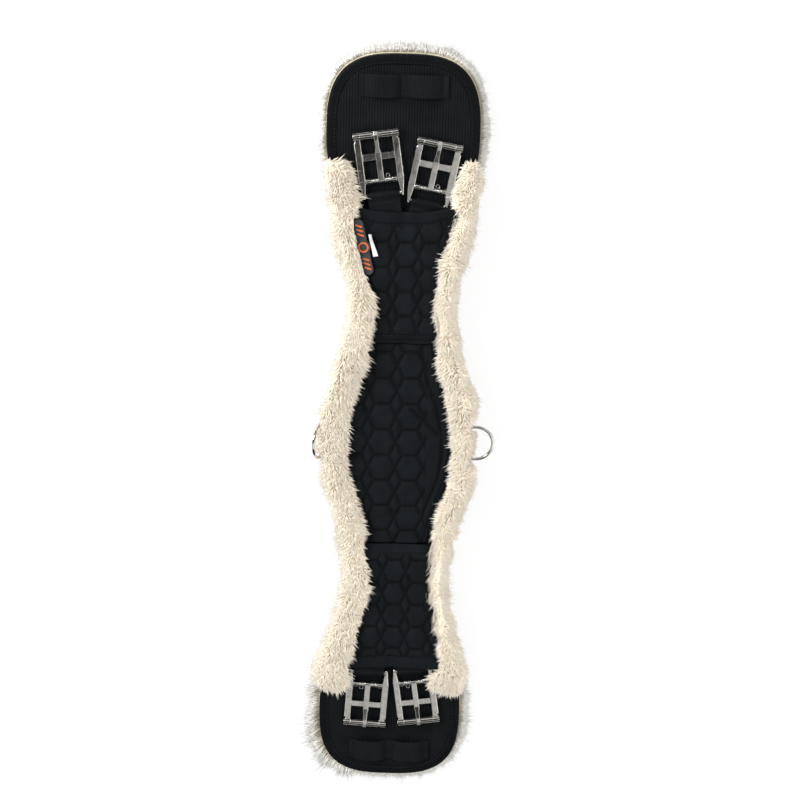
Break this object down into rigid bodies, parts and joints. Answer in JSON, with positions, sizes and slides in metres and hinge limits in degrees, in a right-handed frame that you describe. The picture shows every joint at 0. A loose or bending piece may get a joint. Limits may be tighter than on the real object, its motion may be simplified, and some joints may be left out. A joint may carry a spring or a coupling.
{
  "type": "saddle girth",
  "caption": "Padded anatomic saddle girth with a fold-over fur liner, quilted belly panel and sleeves, elastic straps, roller buckles and side D-rings.",
  "frame": {"origin": "middle of the horse (fur) side, on the plane the girth lies on", "axes": "+Z away from the horse, out of the buckle side; +Y along the girth towards the near end; +X across it towards the rear edge"},
  "size_m": [0.1639, 0.692, 0.042],
  "materials": {
    "fur": "deep cream synthetic lambskin pile",
    "hide": "cream knitted backing of the pile",
    "hook_tape": "black hook and loop tape",
    "body_cloth": "black soft-shell cloth over foam",
    "quilting": "black soft-shell quilted in hexagons",
    "ribbed_webbing": "black ribbed polypropylene webbing",
    "binding": "smooth black binding tape",
    "strap_webbing": "black fine-ribbed webbing",
    "elastic": "black woven elastic",
    "stainless": "polished stainless steel",
    "spring_steel": "bright spring wire",
    "badge_rubber": "dark grey moulded rubber with plain orange raised shapes",
    "label_cloth": "white satin tag, blank"
  },
  "bodies": {
    "girth": {"fur_liner": "fur", "liner_backing": "hide", "hook_tape": "hook_tape", "base_panel": "body_cloth", "belly_panel": "quilting", "rubber_badge": "badge_rubber", "care_label": "label_cloth", "near_sleeve": "quilting", "near_end_webbing": "ribbed_webbing", "near_binding": "binding", "near_keeper": "ribbed_webbing", "near_elastic_anchor": "strap_webbing", "off_sleeve": "quilting", "off_end_webbing": "ribbed_webbing", "off_binding": "binding", "off_keeper": "ribbed_webbing", "off_elastic_anchor": "strap_webbing", "fur_wing_front": "fur", "front_ring_tab": "strap_webbing", "fur_wing_rear": "fur", "rear_ring_tab": "strap_webbing", "near_front_elastic": "elastic", "near_rear_elastic": "elastic", "off_front_elastic": "elastic", "off_rear_elastic": "elastic"},
    "near_front_strap": {"near_front_strap_loop": "strap_webbing"},
    "near_front_buckle": {"near_front_buckle_frame": "stainless", "near_front_tongue_bar": "stainless", "near_front_tongue_spring": "spring_steel", "near_front_bar_collars": "stainless"},
    "near_front_tongue": {"near_front_tongue": "stainless"},
    "near_front_roller": {"near_front_roller": "stainless"},
    "near_rear_strap": {"near_rear_strap_loop": "strap_webbing"},
    "near_rear_buckle": {"near_rear_buckle_frame": "stainless", "near_rear_tongue_bar": "stainless", "near_rear_tongue_spring": "spring_steel", "near_rear_bar_collars": "stainless"},
    "near_rear_tongue": {"near_rear_tongue": "stainless"},
    "near_rear_roller": {"near_rear_roller": "stainless"},
    "off_front_strap": {"off_front_strap_loop": "strap_webbing"},
    "off_front_buckle": {"off_front_buckle_frame": "stainless", "off_front_tongue_bar": "stainless", "off_front_tongue_spring": "spring_steel", "off_front_bar_collars": "stainless"},
    "off_front_tongue": {"off_front_tongue": "stainless"},
    "off_front_roller": {"off_front_roller": "stainless"},
    "off_rear_strap": {"off_rear_strap_loop": "strap_webbing"},
    "off_rear_buckle": {"off_rear_buckle_frame": "stainless", "off_rear_tongue_bar": "stainless", "off_rear_tongue_spring": "spring_steel", "off_rear_bar_collars": "stainless"},
    "off_rear_tongue": {"off_rear_tongue": "stainless"},
    "off_rear_roller": {"off_rear_roller": "stainless"},
    "front_ring": {"front_d_ring": "stainless"},
    "rear_ring": {"rear_d_ring": "stainless"}
  },
  "joints": [
    {"name": "near_front_stretch", "type": "slide", "parent": "girth", "child": "near_front_strap", "axis": [-0.1478, 0.989, 0], "range_m": [0, 0.022], "stiffness_N_per_m": 1500, "deforming": ["near_front_elastic"]},
    {"name": "near_front_fold", "type": "hinge", "parent": "near_front_strap", "child": "near_front_buckle", "pos_m": [-0.0157, 0.2193, 0.0254], "axis": [0.989, 0.1478, 0], "range_deg": [0, 80]},
    {"name": "near_front_tongue_swing", "type": "hinge", "parent": "near_front_buckle", "child": "near_front_tongue", "pos_m": [-0.01755, 0.23166, 0.0254], "axis": [0.989, 0.1478, 0], "range_deg": [0, 90], "stiffness_Nm_per_rad": 0.01, "springref_deg": -17.19},
    {"name": "near_front_roller_spin", "type": "hinge", "parent": "near_front_buckle", "child": "near_front_roller", "pos_m": [-0.02339, 0.27073, 0.0254], "axis": [0.989, 0.1478, 0], "continuous": true},
    {"name": "near_rear_stretch", "type": "slide", "parent": "girth", "child": "near_rear_strap", "axis": [0.1822, 0.9833, 0], "range_m": [0, 0.022], "stiffness_N_per_m": 1500, "deforming": ["near_rear_elastic"]},
    {"name": "near_rear_fold", "type": "hinge", "parent": "near_rear_strap", "child": "near_rear_buckle", "pos_m": [0.0219, 0.2124, 0.0254], "axis": [0.9833, -0.1822, 0], "range_deg": [0, 80]},
    {"name": "near_rear_tongue_swing", "type": "hinge", "parent": "near_rear_buckle", "child": "near_rear_tongue", "pos_m": [0.02418, 0.22469, 0.0254], "axis": [0.9833, -0.1822, 0], "range_deg": [0, 90], "stiffness_Nm_per_rad": 0.01, "springref_deg": -17.19},
    {"name": "near_rear_roller_spin", "type": "hinge", "parent": "near_rear_buckle", "child": "near_rear_roller", "pos_m": [0.03138, 0.26353, 0.0254], "axis": [0.9833, -0.1822, 0], "continuous": true},
    {"name": "off_front_stretch", "type": "slide", "parent": "girth", "child": "off_front_strap", "axis": [-0.061, -0.9981, 0], "range_m": [0, 0.013], "stiffness_N_per_m": 1500, "deforming": ["off_front_elastic"]},
    {"name": "off_front_fold", "type": "hinge", "parent": "off_front_strap", "child": "off_front_buckle", "pos_m": [-0.0197, -0.2309, 0.0254], "axis": [-0.9981, 0.061, 0], "range_deg": [0, 80]},
    {"name": "off_front_tongue_swing", "type": "hinge", "parent": "off_front_buckle", "child": "off_front_tongue", "pos_m": [-0.02046, -0.24338, 0.0254], "axis": [-0.9981, 0.061, 0], "range_deg": [0, 90], "stiffness_Nm_per_rad": 0.01, "springref_deg": -17.19},
    {"name": "off_front_roller_spin", "type": "hinge", "parent": "off_front_buckle", "child": "off_front_roller", "pos_m": [-0.02287, -0.2828, 0.0254], "axis": [-0.9981, 0.061, 0], "continuous": true},
    {"name": "off_rear_stretch", "type": "slide", "parent": "girth", "child": "off_rear_strap", "axis": [0.1392, -0.9903, 0], "range_m": [0, 0.013], "stiffness_N_per_m": 1500, "deforming": ["off_rear_elastic"]},
    {"name": "off_rear_fold", "type": "hinge", "parent": "off_rear_strap", "child": "off_rear_buckle", "pos_m": [0.0203, -0.2276, 0.0254], "axis": [-0.9903, -0.1392, 0], "range_deg": [0, 80]},
    {"name": "off_rear_tongue_swing", "type": "hinge", "parent": "off_rear_buckle", "child": "off_rear_tongue", "pos_m": [0.02204, -0.23998, 0.0254], "axis": [-0.9903, -0.1392, 0], "range_deg": [0, 90], "stiffness_Nm_per_rad": 0.01, "springref_deg": -17.19},
    {"name": "off_rear_roller_spin", "type": "hinge", "parent": "off_rear_buckle", "child": "off_rear_roller", "pos_m": [0.02754, -0.27909, 0.0254], "axis": [-0.9903, -0.1392, 0], "continuous": true},
    {"name": "front_ring_swing", "type": "hinge", "parent": "girth", "child": "front_ring", "pos_m": [-0.0665, -0.005, 0.0215], "axis": [0, 1, 0], "range_deg": [-92, 18]},
    {"name": "rear_ring_swing", "type": "hinge", "parent": "girth", "child": "rear_ring", "pos_m": [0.0665, -0.005, 0.0215], "axis": [0, -1, 0], "range_deg": [-20, 90]}
  ]
}
